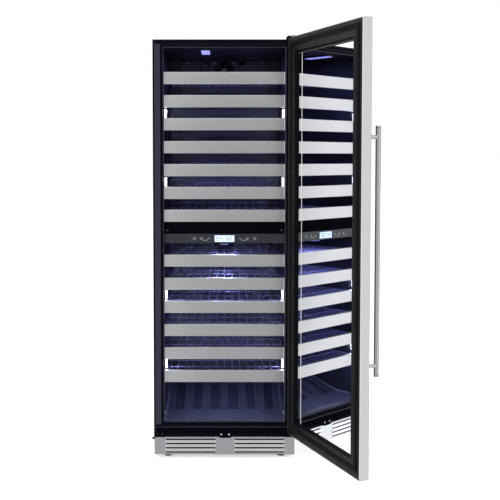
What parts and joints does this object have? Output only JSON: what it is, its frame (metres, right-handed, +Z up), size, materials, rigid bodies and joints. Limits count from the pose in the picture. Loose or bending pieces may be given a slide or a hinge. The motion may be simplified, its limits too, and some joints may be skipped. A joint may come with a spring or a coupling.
{
  "type": "wine cooler",
  "caption": "Tall built-in two-zone wine cooler, glass door open, wire bottle racks with steel fronts, touch panel, louvred toe-kick and tubular handle.",
  "frame": {"origin": "on the floor, on the cabinet's centre plane, directly under its front face", "axes": "+Z up, the front faces -Y, +X towards the door's hinge side"},
  "size_m": [0.8554, 1.201, 1.765],
  "materials": {
    "black_steel": "satin black powder coat",
    "black_satin": "satin black",
    "black_plastic": "fine texture",
    "liner": "smooth moulded",
    "duct": "fine texture",
    "foam": "rigid polyurethane foam",
    "galvanised": "galvanised sheet",
    "stainless": "brushed along its length",
    "aluminium": "plain",
    "wire": "black coated wire",
    "rubber": "matt",
    "panel_grey": "dark grey touch panel",
    "display_glass": "backlit blue-white window",
    "tinted_glass": "dark tint, strong mirror reflection",
    "hinge_black": "black",
    "compressor_black": "gloss black",
    "fan_grey": "plain"
  },
  "bodies": {
    "cabinet": {"outer_casing": "black_steel", "rear_panel": "galvanised", "front_flange": "black_satin", "foam_left": "foam", "foam_right": "foam", "foam_top": "foam", "foam_rear": "foam", "foam_floor": "foam", "inner_liner": "liner", "base_pan": "galvanised", "toe_kick_grille": "stainless", "zone_divider": "black_plastic", "control_panel": "panel_grey", "display": "display_glass", "upper_hinge": "hinge_black", "lower_hinge": "hinge_black", "foot_front_left": "rubber", "foot_front_right": "rubber", "foot_rear_left": "rubber", "foot_rear_right": "rubber", "compressor": "compressor_black", "condenser": "aluminium", "upper_air_duct": "duct", "lower_air_duct": "duct"},
    "door": {"door_frame": "stainless", "door_inner_frame": "black_plastic", "door_gasket": "rubber", "outer_glass": "tinted_glass", "inner_glass": "tinted_glass", "handle": "stainless"},
    "upper_fan": {"upper_fan_rotor": "fan_grey"},
    "lower_fan": {"lower_fan_rotor": "fan_grey"},
    "condenser_fan": {"condenser_fan_rotor": "fan_grey"},
    "shelf_01": {"shelf_01_front": "stainless", "shelf_01_rack": "wire"},
    "shelf_02": {"shelf_02_front": "stainless", "shelf_02_rack": "wire"},
    "shelf_03": {"shelf_03_front": "stainless", "shelf_03_rack": "wire"},
    "shelf_04": {"shelf_04_front": "stainless", "shelf_04_rack": "wire"},
    "shelf_05": {"shelf_05_front": "stainless", "shelf_05_rack": "wire"},
    "shelf_06": {"shelf_06_front": "stainless", "shelf_06_rack": "wire"},
    "shelf_07": {"shelf_07_front": "stainless", "shelf_07_rack": "wire"},
    "shelf_08": {"shelf_08_front": "stainless", "shelf_08_rack": "wire"},
    "shelf_09": {"shelf_09_front": "stainless", "shelf_09_rack": "wire"},
    "shelf_10": {"shelf_10_front": "stainless", "shelf_10_rack": "wire"},
    "shelf_11": {"shelf_11_front": "stainless", "shelf_11_rack": "wire"},
    "shelf_12": {"shelf_12_front": "stainless", "shelf_12_rack": "wire"},
    "shelf_13": {"shelf_13_front": "stainless", "shelf_13_rack": "wire"}
  },
  "joints": [
    {"name": "door_hinge", "type": "hinge", "parent": "cabinet", "child": "door", "pos_m": [0.284, -0.0255, 0.112], "axis": [0, 0, 1], "range_deg": [-111.8, 8.2]},
    {"name": "upper_fan_spin", "type": "hinge", "parent": "cabinet", "child": "upper_fan", "pos_m": [0, 0.5402, 1.674], "axis": [0, 1, 0], "continuous": true},
    {"name": "lower_fan_spin", "type": "hinge", "parent": "cabinet", "child": "lower_fan", "pos_m": [0, 0.5402, 0.8627], "axis": [0, 1, 0], "continuous": true},
    {"name": "condenser_fan_spin", "type": "hinge", "parent": "cabinet", "child": "condenser_fan", "pos_m": [0.12, 0.5353, 0.0923], "axis": [0, 1, 0], "continuous": true},
    {"name": "shelf_01_slide", "type": "slide", "parent": "cabinet", "child": "shelf_01", "axis": [0, -1, 0], "range_m": [0, 0.33]},
    {"name": "shelf_02_slide", "type": "slide", "parent": "cabinet", "child": "shelf_02", "axis": [0, -1, 0], "range_m": [0, 0.33]},
    {"name": "shelf_03_slide", "type": "slide", "parent": "cabinet", "child": "shelf_03", "axis": [0, -1, 0], "range_m": [0, 0.33]},
    {"name": "shelf_04_slide", "type": "slide", "parent": "cabinet", "child": "shelf_04", "axis": [0, -1, 0], "range_m": [0, 0.33]},
    {"name": "shelf_05_slide", "type": "slide", "parent": "cabinet", "child": "shelf_05", "axis": [0, -1, 0], "range_m": [0, 0.33]},
    {"name": "shelf_06_slide", "type": "slide", "parent": "cabinet", "child": "shelf_06", "axis": [0, -1, 0], "range_m": [0, 0.33]},
    {"name": "shelf_07_slide", "type": "slide", "parent": "cabinet", "child": "shelf_07", "axis": [0, -1, 0], "range_m": [0, 0.33]},
    {"name": "shelf_08_slide", "type": "slide", "parent": "cabinet", "child": "shelf_08", "axis": [0, -1, 0], "range_m": [0, 0.33]},
    {"name": "shelf_09_slide", "type": "slide", "parent": "cabinet", "child": "shelf_09", "axis": [0, -1, 0], "range_m": [0, 0.33]},
    {"name": "shelf_10_slide", "type": "slide", "parent": "cabinet", "child": "shelf_10", "axis": [0, -1, 0], "range_m": [0, 0.33]},
    {"name": "shelf_11_slide", "type": "slide", "parent": "cabinet", "child": "shelf_11", "axis": [0, -1, 0], "range_m": [0, 0.33]},
    {"name": "shelf_12_slide", "type": "slide", "parent": "cabinet", "child": "shelf_12", "axis": [0, -1, 0], "range_m": [0, 0.33]},
    {"name": "shelf_13_slide", "type": "slide", "parent": "cabinet", "child": "shelf_13", "axis": [0, -1, 0], "range_m": [0, 0.33]}
  ]
}
